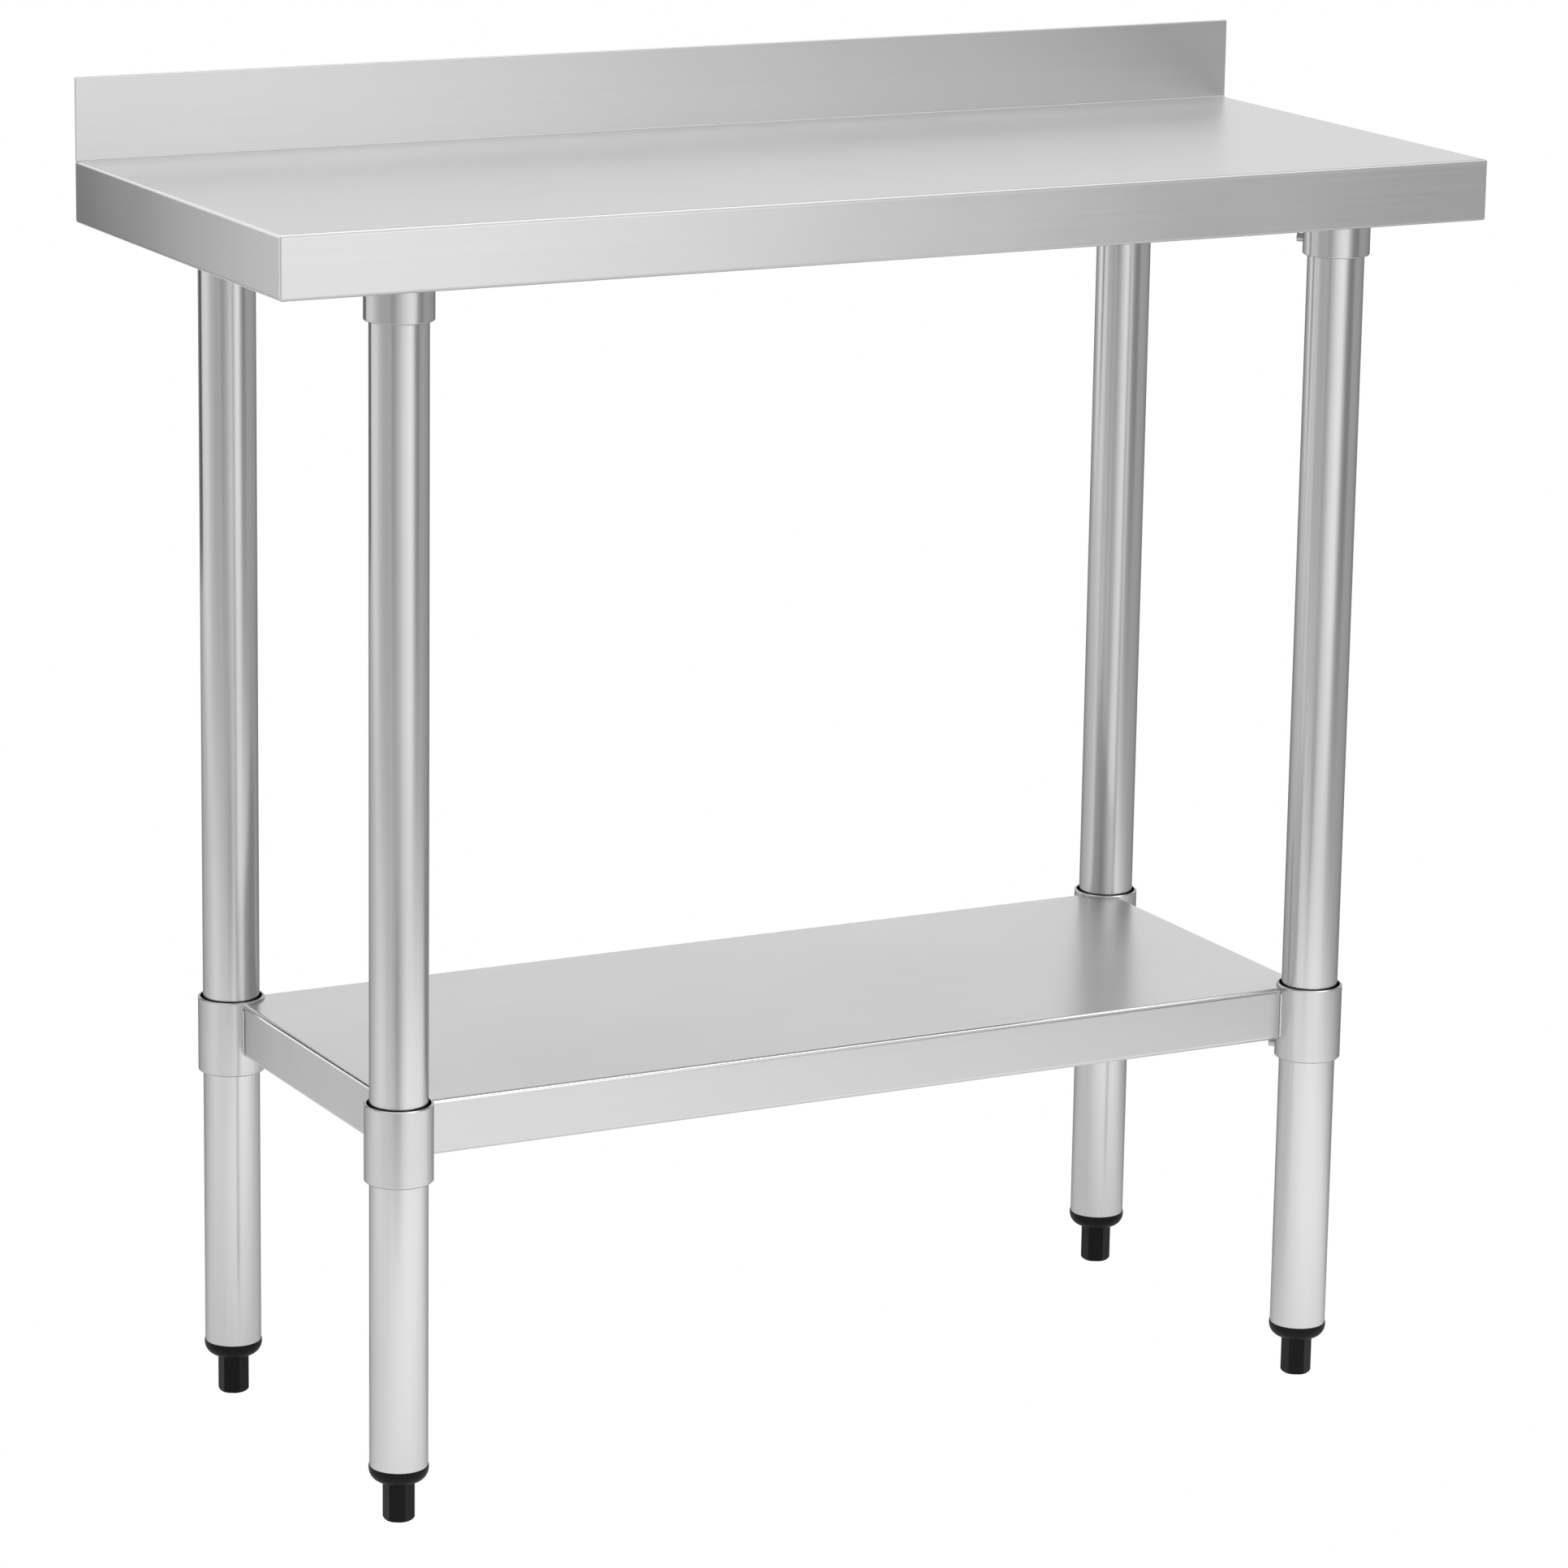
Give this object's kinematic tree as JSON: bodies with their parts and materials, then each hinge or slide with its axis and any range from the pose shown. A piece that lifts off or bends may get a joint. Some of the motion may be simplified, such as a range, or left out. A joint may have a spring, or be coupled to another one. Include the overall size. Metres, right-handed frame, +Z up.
{
  "type": "stainless work table",
  "caption": "Free-standing stainless work table with a folded worktop and rear upstand, round tube legs, a height-adjustable undershelf and screw-out levelling feet.",
  "frame": {"origin": "on the floor under the centre of the table's outline", "axes": "+X along the width to the table's right, +Y to the rear (the upstand side), +Z up"},
  "size_m": [0.9144, 0.3556, 0.946],
  "materials": {
    "worktop_steel": "brushed along the width, satin",
    "shelf_steel": "fine satin",
    "tube_steel": "drawn tube, semi-bright",
    "socket_steel": "turned, semi-bright",
    "channel_steel": "galvanised, dull",
    "zinc_fasteners": "zinc plated",
    "black_plastic": "moulded, slightly grained"
  },
  "bodies": {
    "table": {"worktop_sheet": "worktop_steel", "rear_apron": "worktop_steel", "channel_left": "channel_steel", "channel_right": "channel_steel", "channel_centre": "channel_steel", "weld_studs": "zinc_fasteners", "stud_nuts": "zinc_fasteners", "socket_fl": "socket_steel", "socket_fr": "socket_steel", "socket_rl": "socket_steel", "socket_rr": "socket_steel", "socket_screws": "zinc_fasteners", "leg_fl": "tube_steel", "leg_fr": "tube_steel", "leg_rl": "tube_steel", "leg_rr": "tube_steel", "foot_insert_fl": "black_plastic", "foot_insert_fr": "black_plastic", "foot_insert_rl": "black_plastic", "foot_insert_rr": "black_plastic"},
    "shelf": {"shelf_pan": "shelf_steel", "shelf_channel": "channel_steel", "sleeve_fl": "socket_steel", "sleeve_fr": "socket_steel", "sleeve_rl": "socket_steel", "sleeve_rr": "socket_steel"},
    "shelf_screw_fl": {"shelf_screw_fl": "zinc_fasteners"},
    "shelf_screw_fr": {"shelf_screw_fr": "zinc_fasteners"},
    "shelf_screw_rl": {"shelf_screw_rl": "zinc_fasteners"},
    "shelf_screw_rr": {"shelf_screw_rr": "zinc_fasteners"},
    "stem_fl": {"foot_stem_fl": "zinc_fasteners"},
    "foot_fl": {"foot_fl": "black_plastic"},
    "stem_fr": {"foot_stem_fr": "zinc_fasteners"},
    "foot_fr": {"foot_fr": "black_plastic"},
    "stem_rl": {"foot_stem_rl": "zinc_fasteners"},
    "foot_rl": {"foot_rl": "black_plastic"},
    "stem_rr": {"foot_stem_rr": "zinc_fasteners"},
    "foot_rr": {"foot_rr": "black_plastic"}
  },
  "joints": [
    {"name": "shelf_height", "type": "slide", "parent": "table", "child": "shelf", "axis": [0, 0, 1], "range_m": [-0.195, 0.525]},
    {"name": "shelf_screw_out_fl", "type": "slide", "parent": "shelf", "child": "shelf_screw_fl", "axis": [0.7071, 0.7071, 0], "range_m": [0, 0.002]},
    {"name": "shelf_screw_out_fr", "type": "slide", "parent": "shelf", "child": "shelf_screw_fr", "axis": [-0.7071, 0.7071, 0], "range_m": [0, 0.002]},
    {"name": "shelf_screw_out_rl", "type": "slide", "parent": "shelf", "child": "shelf_screw_rl", "axis": [0.7071, -0.7071, 0], "range_m": [0, 0.002]},
    {"name": "shelf_screw_out_rr", "type": "slide", "parent": "shelf", "child": "shelf_screw_rr", "axis": [-0.7071, -0.7071, 0], "range_m": [0, 0.002]},
    {"name": "foot_travel_fl", "type": "slide", "parent": "table", "child": "stem_fl", "axis": [0, 0, -1], "range_m": [0, 0.024]},
    {"name": "foot_turn_fl", "type": "hinge", "parent": "stem_fl", "child": "foot_fl", "pos_m": [-0.358, -0.1408, 0], "axis": [0, 0, -1], "range_deg": [0, 5760]},
    {"name": "foot_travel_fr", "type": "slide", "parent": "table", "child": "stem_fr", "axis": [0, 0, -1], "range_m": [0, 0.024]},
    {"name": "foot_turn_fr", "type": "hinge", "parent": "stem_fr", "child": "foot_fr", "pos_m": [0.358, -0.1408, 0], "axis": [0, 0, -1], "range_deg": [0, 5760]},
    {"name": "foot_travel_rl", "type": "slide", "parent": "table", "child": "stem_rl", "axis": [0, 0, -1], "range_m": [0, 0.024]},
    {"name": "foot_turn_rl", "type": "hinge", "parent": "stem_rl", "child": "foot_rl", "pos_m": [-0.358, 0.1492, 0], "axis": [0, 0, -1], "range_deg": [0, 5760]},
    {"name": "foot_travel_rr", "type": "slide", "parent": "table", "child": "stem_rr", "axis": [0, 0, -1], "range_m": [0, 0.024]},
    {"name": "foot_turn_rr", "type": "hinge", "parent": "stem_rr", "child": "foot_rr", "pos_m": [0.358, 0.1492, 0], "axis": [0, 0, -1], "range_deg": [0, 5760]}
  ],
  "couplings": [
    {"joint": "foot_turn_fl", "follows": "foot_travel_fl", "rad_per_m": 4188.8},
    {"joint": "foot_turn_fr", "follows": "foot_travel_fr", "rad_per_m": 4188.8},
    {"joint": "foot_turn_rl", "follows": "foot_travel_rl", "rad_per_m": 4188.8},
    {"joint": "foot_turn_rr", "follows": "foot_travel_rr", "rad_per_m": 4188.8}
  ]
}
